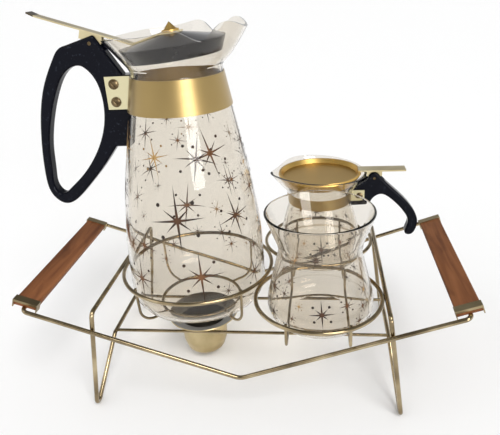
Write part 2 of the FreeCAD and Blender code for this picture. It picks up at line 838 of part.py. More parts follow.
def hinge_slot(prefix, x, z):
    """Room in the top of the handle for the lid's hinge cheeks."""
    item = box(prefix + "_slot", {
        "Length": f"3 * sizes.{prefix}_slot_reach",
        "Width": f"sizes.{prefix}_slot_width",
        "Height": f"4 * sizes.{prefix}_slot_depth",
    })
    item.Placement = Placement(
        Vector(x - size(prefix + "_slot_reach"), -size(prefix + "_slot_width") / 2, z - size(prefix + "_slot_depth")),
        Rotation())
    return item


def rounded_handle(prefix, plate, keep):
    """Round the long edges of a moulded handle where the test says so."""
    half = size(prefix + "_handle_thickness") / 2
    radius = size(prefix + "_handle_round")
    doc.recompute()
    chosen = []
    for index, edge in enumerate(plate.Shape.Edges, start=1):
        spans = edge.BoundBox
        flat = spans.YLength < 0.01 and abs(abs(spans.Center.y) - half) < 0.01
        if flat and keep(spans):
            chosen.append((index, radius, radius))
    item = doc.addObject("Part::Fillet", prefix + "_handle_rounded")
    item.Base = plate
    item.Edges = chosen
    return item


def hinge_cheeks(prefix, rise):
    """Two cheeks that hang from the lever strap and turn on the hinge pin."""
    outer = -size(prefix + "_cheek_outer")
    inner = size(prefix + "_cheek_inner")
    round_end = size(prefix + "_cheek_radius")
    top = rise + size(prefix + "_lever_sheet") / 2
    low = rise - size(prefix + "_cheek_skirt")
    corners = [Vector(-round_end, 0, 0), Vector(-round_end, 0, low), Vector(outer, 0, low), Vector(outer, 0, top),
               Vector(inner, 0, top), Vector(inner, 0, low), Vector(round_end, 0, low), Vector(round_end, 0, 0)]
    edges = [Part.LineSegment(a, b).toShape() for a, b in zip(corners, corners[1:])]
    edges.append(Part.Arc(corners[-1], Vector(0, 0, -round_end), corners[0]).toShape())
    block = extruded(prefix + "_cheek_block", edges, f"sizes.{prefix}_slot_width - 2 * sizes.hinge_side_gap")
    room = box(prefix + "_cheek_room", {
        "Length": f"2 * sizes.{prefix}_cheek_outer + 2 * sizes.{prefix}_cheek_inner",
        "Width": f"sizes.{prefix}_slot_width - 2 * sizes.hinge_side_gap - 2 * sizes.{prefix}_cheek_sheet",
        "Height": f"8 * sizes.{prefix}_cheek_radius",
    })
    clear = size(prefix + "_slot_width") / 2 - size("hinge_side_gap") - size(prefix + "_cheek_sheet")
    room.Placement = Placement(Vector(2 * outer, -clear, rise - 8 * round_end), Rotation())
    return cut(prefix + "_cheeks", block, room)


def strap(prefix, corners, bends):
    """Flat strap bent in the XZ plane."""
    width = size(prefix + "_lever_width")
    thick = size(prefix + "_lever_sheet")
    section = doc.addObject("Part::Feature", prefix + "_strap_section")
    section.Shape = Part.makePolygon([
        Vector(-thick / 2, -width / 2, 0), Vector(thick / 2, -width / 2, 0), Vector(thick / 2, width / 2, 0),
        Vector(-thick / 2, width / 2, 0), Vector(-thick / 2, -width / 2, 0)])
    way = (corners[1] - corners[0]).normalize()
    across = Y_AXIS.cross(way)
    section.Placement = Placement(corners[0], Rotation(across, Y_AXIS, way, "ZYX"))
    return swept(prefix + "_strap", corners, bends, section)


def pin_hole(prefix):
    return through_pin(prefix + "_cheek_hole", f"sizes.{prefix}_pin_diameter / 2 + sizes.hinge_running_gap",
                       f"4 * sizes.{prefix}_slot_width", 0, 0)


# Carafe

def carafe():
    neck_height = size("carafe_neck_height")
    body = size("carafe_body_radius")
    neck = Vector(size("carafe_neck_radius"), 0, neck_height)
    shoulder = Vector(body, 0, size("carafe_side_height"))
    rise = size("carafe_flare_start")
    flare_slope = (size("carafe_lobe_radius") - neck.x) / (rise + size("carafe_flare_height"))
    flare_start = Vector(neck.x + rise * flare_slope, 0, neck_height + rise)
    corners = [Vector(0, 0, 0), Vector(body, 0, 0), shoulder, neck, flare_start]
    side_bend = size("carafe_side_curve") / math.tan(turn_at(corners[1], shoulder, neck) / 2)
    bends = [size("carafe_heel_bend"), side_bend, size("carafe_neck_bend")]
    glass, outside, flare, inset = pouring_glass("carafe", corners, bends, size("carafe_wall"), neck_height)
    node(glass, "carafe_glass", CARAFE_PLACE)

    top = neck_height - size("carafe_collar_setback")
    low = top - size("carafe_collar_width")
    taper = (shoulder.x - neck.x) / (neck.z - shoulder.z)
    skin = size("carafe_collar_sheet") * math.sqrt(1 + taper ** 2)
    band = doc.addObject("Part::Cone", "carafe_band")
    bind(band, {"Height": "sizes.carafe_collar_width"})
    band.Radius1 = neck.x + taper * (neck_height - low) + skin
    band.Radius2 = neck.x + taper * (neck_height - top) + skin
    band.Placement = Placement(Vector(0, 0, low), Rotation())
    middle = (top + low) / 2
    step = size("carafe_screw_spacing") / 2
    upper, upper_hole = collar_screw("carafe", "carafe_upper_screw", middle + step)
    lower, lower_hole = collar_screw("carafe", "carafe_lower_screw", middle - step)
    holes = [upper_hole, lower_hole]
    node(collar("carafe", band, low, outside, holes), "carafe_collar", CARAFE_PLACE)
    node(grouped("carafe_screws", [upper, lower]), "carafe_collar_screws", CARAFE_PLACE)

    pin_x = -size("carafe_pin_reach")
    pin_z = neck_height + size("carafe_pin_rise")
    pin_seat = hinge_pin("carafe", pin_x, pin_z, CARAFE_PLACE)
    slot = hinge_slot("carafe", pin_x, pin_z)
    handle = carafe_handle(neck)
    waste = fused("carafe_handle_waste", [outside, slot, pin_seat] + holes)
    node(cut("carafe_handle", handle, waste), "carafe_handle", CARAFE_PLACE)
    carafe_lid(flare, inset, neck_height, pin_x, pin_z)


def carafe_handle(neck):
    """Moulded loop: a broad top that carries the hinge, a slim grip and a pad against the glass."""
    outer = [(-91.0, 22.8), (-97.8, 19.8), (-103.2, 13.0), (-115.4, -8.0), (-127.4, -49.0), (-131.8, -89.0),
             (-128.6, -108.0), (-119.5, -116.0), (-94.5, -102.0), (-72.0, -78.0), (-59.5, -62.5)]
    opening = [(-78.0, 5.0), (-70.0, -4.5), (-66.2, -20.0), (-67.6, -40.0), (-77.0, -64.0), (-97.0, -90.0),
               (-112.5, -103.5), (-118.8, -106.8), (-123.2, -103.0), (-124.6, -88.0), (-122.2, -64.0),
               (-115.6, -38.0), (-104.5, -12.0), (-88.5, 5.2)]
    outer = [(x, z + neck.z) for x, z in outer]
    opening = [(x, z + neck.z) for x, z in opening]
    foot_x, foot_z = outer[-1]
    corner_x, corner_z = outer[0]
    inside_x = -neck.x * 0.85
    shoulder = Vector(-size("carafe_shoulder_reach"), 0, neck.z - size("carafe_shoulder_drop"))
    peak = Vector(-size("carafe_peak_reach"), 0, neck.z + size("carafe_peak_rise"))
    foot = Vector(foot_x, 0, foot_z)
    edges = [
        curve_through(outer),
        Part.LineSegment(foot, Vector(inside_x, 0, foot_z)).toShape(),
        Part.LineSegment(Vector(inside_x, 0, foot_z), Vector(inside_x, 0, shoulder.z)).toShape(),
        Part.LineSegment(Vector(inside_x, 0, shoulder.z), shoulder).toShape(),
    ]
    edges.extend(rounded_edges([shoulder, peak, Vector(corner_x, 0, corner_z)], [size("carafe_peak_bend")]))
    plate = extruded("carafe_handle_plate", edges, "sizes.carafe_handle_thickness")
    hole = extruded("carafe_handle_opening", [curve_through(opening, closed=True)],
                    "3 * sizes.carafe_handle_thickness")
    loop = cut("carafe_handle_loop", plate, hole)
    return rounded_handle("carafe", loop, lambda spans: spans.XMin < corner_x + 1)


def carafe_lid(flare, inset, neck_height, pin_x, pin_z):
    tilt = size("carafe_lid_tilt")
    bottom = neck_height + size("carafe_lid_bottom")
    skirt = size("carafe_lid_skirt")
    wall = size("carafe_lid_wall")
    gap = size("carafe_lid_clearance")
    place = Placement(Vector(0, 0, bottom), Rotation(Y_AXIS, -tilt))
    lean = math.tan(math.radians(tilt)) * flare.start_radius
    low_radius = flare.least(lambda angle: bottom + lean * math.cos(angle), inset) - gap
    high_radius = flare.least(lambda angle: bottom + skirt + lean * math.cos(angle), inset) - gap
    pad = size("carafe_lid_pad")
    crown = skirt + size("carafe_lid_dome")
    stud = size("carafe_knob_stud") / 2
    outline = [
        Vector(stud, 0, crown),
        Vector(pad, 0, crown),
        Vector(high_radius, 0, skirt),
        Vector(low_radius, 0, 0),
        Vector(low_radius - wall, 0, 0),
        Vector(high_radius - wall, 0, skirt - wall),
        Vector(pad, 0, crown - wall),
        Vector(stud, 0, crown - wall),
    ]
    outline.append(outline[0])
    plug = spun("carafe_lid_plug", [Part.LineSegment(a, b).toShape() for a, b in zip(outline, outline[1:])])
    node(plug, "carafe_lid_plug", CARAFE_PLACE.multiply(place))

    lever_place = Placement(Vector(pin_x, 0, pin_z), Rotation(Y_AXIS, size("carafe_lever_tilt")))
    to_lever = lever_place.inverse().multiply(place)
    thick = size("carafe_lever_sheet")
    rise = size("carafe_lever_rise") + thick / 2
    reach = size("carafe_lever_reach")
    edge = to_lever.multVec(Vector(-high_radius, 0, skirt))
    pad_left = to_lever.multVec(Vector(-pad, 0, crown))
    pad_right = to_lever.multVec(Vector(pad, 0, crown))
    slope = (pad_left - edge).normalize()
    level = (pad_right - pad_left).normalize()
    lift = thick / 2
    slope_lift = Vector(-slope.z, 0, slope.x) * lift
    level_lift = Vector(-level.z, 0, level.x) * lift
    knee = line_meet(Vector(0, 0, rise), X_AXIS, edge + slope_lift, slope)
    landing = line_meet(edge + slope_lift, slope, pad_left + level_lift, level)
    corners = [Vector(-reach, 0, rise + 1.0), Vector(-reach + 7.0, 0, rise), knee, landing, pad_right + level_lift]
    bend = size("carafe_lever_bend")
    lever = strap("carafe", corners, [3 * bend, bend, bend])
    stud_hole = bar("carafe_stud_hole", "sizes.carafe_knob_stud / 2", "20 * sizes.carafe_lever_sheet",
                    to_lever.multVec(Vector(0, 0, crown)), to_lever.Rotation.multVec(Z_AXIS))
    blank = fused("carafe_lever_blank", [lever, hinge_cheeks("carafe", size("carafe_lever_rise"))])
    holes = fused("carafe_lever_holes", [pin_hole("carafe"), stud_hole])
    node(cut("carafe_lever", blank, holes), "carafe_lid_lever", CARAFE_PLACE.multiply(lever_place))

    base = crown + thick
    knob = size("carafe_knob_radius")
    nut = size("carafe_knob_nut") / 2
    nut_top = crown - wall
    nut_low = nut_top - size("carafe_knob_nut_height")
    outline = [
        Vector(0, 0, base + size("carafe_knob_height")),
        Vector(knob * 0.72, 0, base + 2.0),
        Vector(knob, 0, base + 1.4),
        Vector(knob, 0, base),
        Vector(stud, 0, base),
        Vector(stud, 0, nut_top),
        Vector(nut, 0, nut_top),
        Vector(nut, 0, nut_low),
        Vector(0, 0, nut_low),
    ]
    outline.append(outline[0])
    knob_item = spun("carafe_knob", [Part.LineSegment(a, b).toShape() for a, b in zip(outline, outline[1:])])
    node(knob_item, "carafe_lid_knob", CARAFE_PLACE.multiply(place))


# Sugar bowl and creamer

def pot_corners(waist_radius, waist_height):
    body = size("pot_body_radius")
    return [Vector(0, 0, 0), Vector(body, 0, 0), Vector(body, 0, size("pot_side_height")),
            Vector(waist_radius, 0, waist_height)]


def sugar_bowl():
    corners = pot_corners(size("sugar_waist_radius"), size("sugar_waist_height"))
    corners.append(Vector(size("sugar_rim_radius"), 0, size("sugar_height")))
    bends = [size("pot_heel_bend"), size("pot_side_bend"), size("sugar_waist_bend")]
    node(spun_wall("sugar_glass", corners, bends, size("pot_wall"), True), "sugar_glass", SUGAR_PLACE)


def creamer():
    waist = size("creamer_waist_height")
    corners = pot_corners(size("creamer_waist_radius"), waist)
    rise = size("creamer_flare_start")
    slope = (size("creamer_lobe_radius") - corners[-1].x) / (rise + size("creamer_flare_height"))
    corners.append(Vector(corners[-1].x + rise * slope, 0, waist + rise))
    bends = [size("pot_heel_bend"), size("pot_side_bend"), size("creamer_waist_bend")]
    glass, outside, flare, inset = pouring_glass("creamer", corners, bends, size("pot_wall"), waist)
    node(glass, "creamer_glass", CREAMER_PLACE)

    low = waist - size("creamer_collar_width") / 2
    band = doc.addObject("Part::Cylinder", "creamer_band")
    bind(band, {"Radius": "sizes.creamer_collar_radius", "Height": "sizes.creamer_collar_width"})
    band.Placement = Placement(Vector(0, 0, low), Rotation())
    screw, hole = collar_screw("creamer", "creamer_screw", waist)
    node(collar("creamer", band, low, outside, [hole]), "creamer_collar", CREAMER_PLACE)
    node(screw, "creamer_collar_screw", CREAMER_PLACE.multiply(screw.Placement))

    pin_x = -size("creamer_pin_reach")
    pin_z = waist + size("creamer_pin_rise")
    pin_seat = hinge_pin("creamer", pin_x, pin_z, CREAMER_PLACE)
    slot = hinge_slot("creamer", pin_x, pin_z)
    handle = creamer_handle(waist, pin_x, pin_z)
    waste = fused("creamer_handle_waste", [outside, slot, pin_seat, hole])
    node(cut("creamer_handle", handle, waste), "creamer_handle", CREAMER_PLACE)
    creamer_lid(flare, inset, waist, pin_x, pin_z)


def creamer_handle(waist, pin_x, pin_z):
    """Moulded hook that tapers to an inward curl."""
    ear = size("creamer_ear_radius")
    hook = [(-74.3, 1.8), (-87.2, -12.2), (-94.3, -27.0), (-93.0, -37.2), (-88.4, -42.6), (-83.6, -41.6),
            (-83.8, -35.6), (-85.5, -28.5), (-80.9, -18.3), (-67.9, -4.4), (-58.4, 0.4), (-51.9, -2.8),
            (-48.4, -10.3)]
    ear_left = Vector(pin_x - ear * 0.8, 0, pin_z + ear * 0.6)
    ear_top = Vector(pin_x, 0, pin_z + ear)
    ear_right = Vector(pin_x + ear, 0, pin_z)
    hook = [(ear_left.x, ear_left.z)] + [(x, z + waist) for x, z in hook]
    foot_x, foot_z = hook[-1]
    inside_x = -size("creamer_waist_radius") * 0.85
    edges = [
        curve_through(hook),
        Part.LineSegment(Vector(foot_x, 0, foot_z), Vector(inside_x, 0, foot_z)).toShape(),
        Part.LineSegment(Vector(inside_x, 0, foot_z), Vector(inside_x, 0, waist)).toShape(),
        Part.LineSegment(Vector(inside_x, 0, waist), ear_right).toShape(),
        Part.Arc(ear_right, ear_top, ear_left).toShape(),
    ]
    plate = extruded("creamer_handle_plate", edges, "sizes.creamer_handle_thickness")
    return rounded_handle("creamer", plate, lambda spans: spans.XMin < hook[1][0])


def creamer_lid(flare, inset, waist, pin_x, pin_z):
    """Shallow brass dish with a raised rim, hung from a flat lever."""
    top = waist + size("creamer_lid_rise")
    low = top - size("creamer_lid_skirt")
    skin = size("creamer_lid_sheet")
    gap = size("creamer_lid_clearance")
    rim = size("creamer_lid_rim")
    low_radius = flare.least(lambda angle: low, inset) - gap
    high_radius = flare.least(lambda angle: top - rim, inset) - gap
    disc = top - size("creamer_lid_recess")
    outline = [
        Vector(0, 0, disc),
        Vector(high_radius - 2 * rim - skin, 0, disc),
        Vector(high_radius - rim - skin / 2, 0, top),
        Vector(high_radius - rim / 3, 0, top),
        Vector(high_radius, 0, top - rim),
        Vector(low_radius, 0, low),
        Vector(low_radius - skin, 0, low),
        Vector(high_radius - skin, 0, top - rim - skin),
        Vector(high_radius - rim, 0, top - skin),
        Vector(high_radius - 2 * rim, 0, disc - skin),
        Vector(0, 0, disc - skin),
    ]
    outline.append(outline[0])
    dish = spun("creamer_dish", [Part.LineSegment(a, b).toShape() for a, b in zip(outline, outline[1:])])
    node(dish, "creamer_lid_dish", CREAMER_PLACE)

    lever_place = Placement(Vector(pin_x, 0, pin_z), Rotation())
    rise = top - pin_z
    thick = size("creamer_lever_sheet")
    reach = size("creamer_lever_reach")
    inner_end = -high_radius + size("creamer_lever_overlap") - pin_x
    plate = box("creamer_lever_plate", {"Width": "sizes.creamer_lever_width", "Height": "sizes.creamer_lever_sheet"})
    plate.Length = inner_end + reach
    plate.Placement = Placement(Vector(-reach, -size("creamer_lever_width") / 2, rise), Rotation())
    blank = fused("creamer_lever_blank", [plate, hinge_cheeks("creamer", rise)])
    lever = cut("creamer_lever", blank, pin_hole("creamer"))
    node(lever, "creamer_lid_lever", CREAMER_PLACE.multiply(lever_place))


def write_parts():
    """Check every object and sub-part, then write one file per sub-part."""
    doc.recompute()
    for item in doc.Objects:
        if "Invalid" in item.State or "Error" in item.State:
            raise RuntimeError(f"{item.Label} failed: {item.State}")
    for item in NODES:
        if item.Shape.isNull() or not item.Shape.isValid():
            raise RuntimeError(f"{item.Label} has no valid shape")
    os.makedirs("parts", exist_ok=True)
    for item in NODES:
        item.Shape.exportStep(f"parts/{item.Label}.step")
        print(f"{item.Label}: {len(item.Shape.Solids)} solids, {item.Shape.Volume:.0f} mm3")


stand()
carafe()
sugar_bowl()
creamer()
write_parts()
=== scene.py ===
import json
import math
import bpy
from mathutils import Matrix, Vector


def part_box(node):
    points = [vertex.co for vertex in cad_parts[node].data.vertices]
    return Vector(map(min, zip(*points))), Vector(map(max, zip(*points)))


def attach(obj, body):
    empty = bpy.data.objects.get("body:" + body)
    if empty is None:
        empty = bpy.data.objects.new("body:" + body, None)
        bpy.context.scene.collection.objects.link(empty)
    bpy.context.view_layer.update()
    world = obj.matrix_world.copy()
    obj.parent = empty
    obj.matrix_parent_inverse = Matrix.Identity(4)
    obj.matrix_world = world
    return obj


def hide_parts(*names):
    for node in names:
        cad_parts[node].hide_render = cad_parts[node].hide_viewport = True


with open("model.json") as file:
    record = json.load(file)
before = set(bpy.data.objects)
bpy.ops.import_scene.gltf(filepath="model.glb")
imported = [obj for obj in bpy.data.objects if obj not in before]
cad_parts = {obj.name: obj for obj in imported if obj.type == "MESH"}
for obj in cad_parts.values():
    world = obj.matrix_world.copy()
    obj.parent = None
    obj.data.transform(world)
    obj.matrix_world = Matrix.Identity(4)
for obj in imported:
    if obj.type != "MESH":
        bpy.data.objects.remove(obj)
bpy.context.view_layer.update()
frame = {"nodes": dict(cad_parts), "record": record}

# Glass carafe, creamer and sugar bowl on a brass-wire warming stand: finishes, printed stars
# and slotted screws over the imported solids, with a plain studio around them.

NODES = frame["nodes"]
MM = 0.001

# Where the photographer stood, found by fitting the stand's corners and the rings
CAMERA_PLACE = (0.0674, -0.4447, 0.3480)
CAMERA_YAW = -8.027
CAMERA_PITCH = 23.958
CAMERA_ROLL = -3.69
CAMERA_LENS = 38.88
CAMERA_SENSOR = 36.0
CAMERA_FAR = 100.0


def middle(node):
    low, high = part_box(node)
    return [(a + b) / 2 for a, b in zip(low, high)]


def half_across(node):
    """Half of a node's reach across the stand, front to back."""
    low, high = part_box(node)
    return (high[1] - low[1]) / 2


CARAFE_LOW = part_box("carafe_glass")[0]
COLLAR_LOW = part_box("carafe_collar")[0]
CARAFE_X = middle("carafe_base_ring")[0]
CREAMER_X, CREAMER_Y, _ = middle("creamer_lid_dish")

# Where a finish changes within one solid: the thickness of a collar's lug beside the handle, painted paler
# as a painted reflection, the height of the painted-shade floor in the candle cup, how far the cup's wall
# must face its own axis and how far its floor must face up to get painted shade, and the darkened length of
# the carafe's lever
LUG_SHEET = 1.0 * MM
CUP_SHADED_FLOOR = 8.0 * MM
CUP_FACING_IN = 4.0 * MM
CUP_FACING_UP = 0.4
LEVER_TIP = 6.0 * MM


# Materials

class Field:
    """A value that changes over a surface or a direction: one output of a graph's nodes."""

    def __init__(self, graph, socket):
        self.graph = graph
        self.socket = socket

    def _math(self, operation, first, second):
        return self.graph.add("ShaderNodeMath", {"operation": operation}, {0: first, 1: second})

    def __add__(self, other):
        return self._math("ADD", self, other)

    def __radd__(self, other):
        return self._math("ADD", other, self)

    def __sub__(self, other):
        return self._math("SUBTRACT", self, other)

    def __rsub__(self, other):
        return self._math("SUBTRACT", other, self)

    def __mul__(self, other):
        return self._math("MULTIPLY", self, other)

    def __rmul__(self, other):
        return self._math("MULTIPLY", other, self)

    def __lt__(self, other):
        return self._math("LESS_THAN", self, other)

    def __gt__(self, other):
        return self._math("GREATER_THAN", self, other)


class Graph:
    """The nodes of one material or of the world."""

    def __init__(self, tree):
        self.tree = tree

    def feed(self, socket, value):
        if isinstance(value, Field):
            self.tree.links.new(value.socket, socket)
        else:
            socket.default_value = value

    def add(self, kind, settings=None, inputs=None, output=0):
        """One output of a new node with these settings and inputs; stops are those of a colour ramp."""
        node = self.tree.nodes.new(kind)
        for name, value in (settings or {}).items():
            if name == "stops":
                self.set_stops(node.color_ramp, value)
            else:
                setattr(node, name, value)
        for name, value in (inputs or {}).items():
            self.feed(node.inputs[name], value)
        return Field(self, node.outputs[output])

    def set_stops(self, ramp, stops):
        while len(ramp.elements) < len(stops):
            ramp.elements.new(0.5)
        for element, (where, colour) in zip(ramp.elements, stops):
            element.position = where
            element.color = (*colour, 1.0)


class Finish(Graph):
    """One material and the nodes that feed its shader, whose sockets are named with underscores here."""

    def __init__(self, name, **sockets):
        self.material = bpy.data.materials.new(name)
        self.material.use_nodes = True
        super().__init__(self.material.node_tree)
        self.shader = self.tree.nodes["Principled BSDF"]
        self.out = self.tree.nodes["Material Output"]
        for label, value in sockets.items():
            self.set(label.replace("_", " ").title().replace("Ior", "IOR"), value)

    def set(self, label, value):
        self.feed(self.shader.inputs[label], value)

    def source(self, label):
        """What feeds a socket of the shader now."""
        return Field(self, self.shader.inputs[label].links[0].from_socket)

    def place(self, stretch):
        """Object coordinates, stretched."""
        here = self.add("ShaderNodeTexCoord", output="Object")
        return self.add("ShaderNodeMapping", inputs={"Vector": here, "Scale": stretch})

    def axis(self, letter, kind="Object"):
        """One Object coordinate in metres, or one part of the surface's own direction."""
        here = self.add("ShaderNodeTexCoord", output=kind)
        return self.add("ShaderNodeSeparateXYZ", inputs={"Vector": here}, output=letter)

    def noise(self, scale, detail=3.0, stretch=(1, 1, 1), distortion=0.0):
        return self.add("ShaderNodeTexNoise", inputs={
            "Vector": self.place(stretch), "Scale": scale, "Detail": detail, "Distortion": distortion})

    def ramp(self, field, *stops):
        return self.add("ShaderNodeValToRGB", {"stops": stops}, {"Fac": field}, output="Color")

    def mix(self, mask, low, high):
        low, high = (c if isinstance(c, Field) else (*c, 1.0) for c in (low, high))
        return self.add("ShaderNodeMix", {"data_type": "RGBA"}, {0: mask, 6: low, 7: high}, output=2)

    def bump(self, height, strength, distance):
        self.set("Normal", self.add("ShaderNodeBump", inputs={
            "Strength": strength, "Distance": distance, "Height": height}))


def aged_brass_wire():
    """Drawn wire gone olive brown under old lacquer, with paler rubbed stretches."""
    finish = Finish("aged_brass_wire", metallic=1.0, coat_weight=0.5, coat_roughness=0.06)
    tarnish = finish.noise(34.0, 4.0)
    finish.set("Base Color", finish.ramp(
        tarnish, (0.30, (0.15, 0.108, 0.054)), (0.52, (0.35, 0.27, 0.15)), (0.74, (0.62, 0.51, 0.32))))
    finish.set("Roughness", 0.09 + 0.14 * finish.noise(80.0, 2.0))
    return finish.material


def spun_gold(name, dull, bright, lacquer, painted_reflection_lugs=None):
    """Satin gold sheet with fine lines from spinning; the flat lugs are painted paler, a painted reflection
    of the pale floor.
    """
    finish = Finish(name, metallic=1.0, coat_weight=lacquer, coat_roughness=0.3)
    lines = finish.noise(26.0, 3.0, (0.4, 0.4, 26.0))
    gold = finish.ramp(finish.noise(14.0, 3.0), (0.3, dull), (0.7, bright))
    # painted reflection: the flat lugs get a paler gold
    finish.set("Base Color", finish.mix(painted_reflection_lugs(finish), gold, (0.74, 0.68, 0.43)) if painted_reflection_lugs else gold)
    finish.set("Roughness", 0.30 + 0.10 * lines)
    return finish.material


def sheet_brass(name, dull, mid, bright):
    """Folded or spun brass sheet, duller where hands and heat have been."""
    finish = Finish(name, metallic=1.0)
    finish.set("Base Color", finish.ramp(finish.noise(30.0, 4.0), (0.32, dull), (0.55, mid), (0.8, bright)))
    finish.set("Roughness", 0.24 + 0.14 * finish.noise(70.0, 2.0))
    return finish


def cup_with_painted_shade():
    """Candle cup: pale brass outside, with painted shade darkening the wall and floor of its well."""
    finish = sheet_brass("cup_brass", (0.40, 0.31, 0.16), (0.60, 0.49, 0.28), (0.72, 0.61, 0.38))
    x, y, _ = middle("candle_cup")
    out_x, out_y, up = (finish.axis(letter, "Normal") for letter in "XYZ")
    painted_shade_wall = out_x * (finish.axis("X") - x) + out_y * (finish.axis("Y") - y) < -CUP_FACING_IN
    floor = (up > CUP_FACING_UP) * (finish.axis("Z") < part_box("candle_cup")[0][2] + CUP_SHADED_FLOOR)
    brass = finish.source("Base Color")
    # painted shade: the well's inward-facing wall and low floor are darkened to grey
    finish.set("Base Color", finish.mix(painted_shade_wall + floor, brass, (0.27, 0.26, 0.24)))
    return finish.material


def lever_brass():
    """Pale polished lever; the thumb end of the long one is darker."""
    finish = sheet_brass("lever_brass", (0.58, 0.48, 0.27), (0.74, 0.65, 0.41), (0.85, 0.77, 0.55))
    tip = finish.axis("X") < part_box("carafe_lid_lever")[0][0] + LEVER_TIP
    finish.set("Base Color", finish.mix(tip, finish.source("Base Color"), (0.11, 0.085, 0.05)))
    return finish.material


def dark_bronze():
    """Screws browned all over, with a coarse grain."""
    finish = Finish("dark_bronze", metallic=1.0)
    finish.set("Base Color", finish.ramp(
        finish.noise(220.0, 4.0), (0.35, (0.07, 0.047, 0.024)), (0.7, (0.22, 0.16, 0.085))))
    finish.set("Roughness", 0.32)
    return finish.material


def walnut():
    """Oiled red-brown wood with grain along the slat."""
    finish = Finish("walnut", specular_ior_level=0.25)
    grain = finish.noise(30.0, 6.0, (5.0, 0.35, 5.0), 0.6)
    figure = finish.noise(22.0, 4.0, (1.6, 0.5, 1.6), 1.8)
    wood = finish.ramp(
        grain, (0.28, (0.105, 0.033, 0.010)), (0.5, (0.205, 0.073, 0.024)), (0.75, (0.30, 0.118, 0.043)))
    shade = finish.ramp(figure, (0.30, (0.46, 0.40, 0.38)), (0.47, (1.0, 1.0, 1.0)))
    finish.set("Base Color", finish.add(
        "ShaderNodeMix", {"data_type": "RGBA", "blend_type": "MULTIPLY"},
        {0: 0.75, 6: wood, 7: shade}, output=2))
    finish.set("Roughness", 0.46 + 0.16 * grain)
    finish.bump(grain, 0.25, 0.0004)
    return finish.material


def gloss_black(name, roughness, gloss):
    """Moulded black with a faint blue cast and fine dust."""
    finish = Finish(name, specular_ior_level=gloss)
    dust = finish.noise(420.0, 2.0)
    finish.set("Base Color", finish.ramp(
        dust, (0.62, (0.0045, 0.005, 0.0085)), (0.85, (0.028, 0.033, 0.046))))
    finish.set("Roughness", roughness + 0.08 * finish.noise(60.0, 3.0))
    return finish.material


def clear_glass():
    """Thin blown glass with a faint warm cast; it lets light through to the floor."""
    finish = Finish("clear_glass", base_color=(0.87, 0.835, 0.775, 1.0), roughness=0.0,
                    transmission_weight=1.0, ior=1.26, coat_weight=0.2, coat_roughness=0.0)
    glass = Field(finish, finish.shader.outputs["BSDF"])
    clear = finish.add("ShaderNodeBsdfTransparent", inputs={"Color": (0.93, 0.915, 0.89, 1.0)})
    shadow = finish.add("ShaderNodeLightPath", output="Is Shadow Ray")
    both = finish.add("ShaderNodeMixShader", inputs={"Fac": shadow, 1: glass, 2: clear})
    finish.feed(finish.out.inputs["Surface"], both)
    return finish.material


def fired_print(name, heart, ray, tip):
    """Print fired on the glass: warm at the heart of a star and darker out along its rays."""
    finish = Finish(name, specular_ior_level=0.2)
    spot = finish.add("ShaderNodeTexCoord", output="UV")
    along = finish.add("ShaderNodeSeparateXYZ", inputs={"Vector": spot}, output="X")
    out = finish.add("ShaderNodeMath", {"operation": "ABSOLUTE"}, {0: along * 2.0 - 1.0})
    out = out + 0.24 * finish.noise(130.0, 3.0) - 0.12
    finish.set("Base Color", finish.ramp(out, (0.05, heart), (0.34, ray), (0.75, tip)))
    finish.set("Roughness", 0.45)
    return finish.material


def carafe_lugs_painted_reflection(finish):
    """Where the carafe's collar lies flat along the handle, painted paler as a painted reflection."""
    flat = half_across("carafe_handle") + LUG_SHEET
    across = finish.axis("Y")
    return (across < flat) * (across > -flat) * (finish.axis("X") < CARAFE_X)


def creamer_lugs_painted_reflection(finish):
    """Where the creamer's collar lies flat along the handle, painted paler as a painted reflection."""
    flat = half_across("creamer_handle") + LUG_SHEET
    across = finish.axis("Y") - CREAMER_Y
    return (across < flat) * (across > -flat) * (finish.axis("X") > CREAMER_X)


COLLAR_TONES = ((0.34, 0.232, 0.082), (0.42, 0.30, 0.118))
BRONZE = dark_bronze()
LEVER = lever_brass()
INKS = {
    "dark": (
        fired_print("dark_print", (0.09, 0.043, 0.022), (0.036, 0.022, 0.016), (0.026, 0.018, 0.014)),
        "black_moulding",
    ),
    "copper": (
        fired_print("copper_print", (0.165, 0.073, 0.029), (0.070, 0.036, 0.020), (0.042, 0.025, 0.017)),
        "bronze_screws",
    ),
    "gold": (
        fired_print("gold_print", (0.42, 0.26, 0.10), (0.36, 0.225, 0.09), (0.24, 0.15, 0.065)),
        "brass_collar",
    ),
}
FINISHES = {
    "brass_wire": aged_brass_wire(),
    "brass_sheet": sheet_brass(
        "cap_brass", (0.20, 0.152, 0.078), (0.37, 0.295, 0.165), (0.52, 0.43, 0.26)).material,
    "brass_collar": spun_gold("dish_gold", (0.60, 0.385, 0.105), (0.72, 0.48, 0.15), 0.0),
    "bronze_screws": BRONZE,
    "walnut": walnut(),
    "clear_glass": clear_glass(),
    "black_moulding": gloss_black("gloss_black_handle", 0.10, 0.08),
}
OWN_FINISH = {
    "carafe_lid_plug": gloss_black("gloss_black_plug", 0.14, 0.4),
    "carafe_lid_lever": LEVER,
    "creamer_lid_lever": LEVER,
    "candle_cup": cup_with_painted_shade(),
    "carafe_collar": spun_gold("carafe_collar_gold", *COLLAR_TONES, 0.4, carafe_lugs_painted_reflection),
    "creamer_collar": spun_gold("creamer_collar_gold", *COLLAR_TONES, 0.4, creamer_lugs_painted_reflection),
}


def dress(piece, material):
    piece.data.materials.clear()
    piece.data.materials.append(material)


def dress_nodes():
    for part in frame["record"]["subparts"]:
        name = part["node"]
        dress(NODES[name], OWN_FINISH.get(name, FINISHES[part["material_slot"]]))


# Pieces

def only(*pieces):
    """Leave just these selected, the last one active."""
    bpy.ops.object.select_all(action="DESELECT")
    for piece in pieces:
        piece.select_set(True)
        bpy.context.view_layer.objects.active = piece


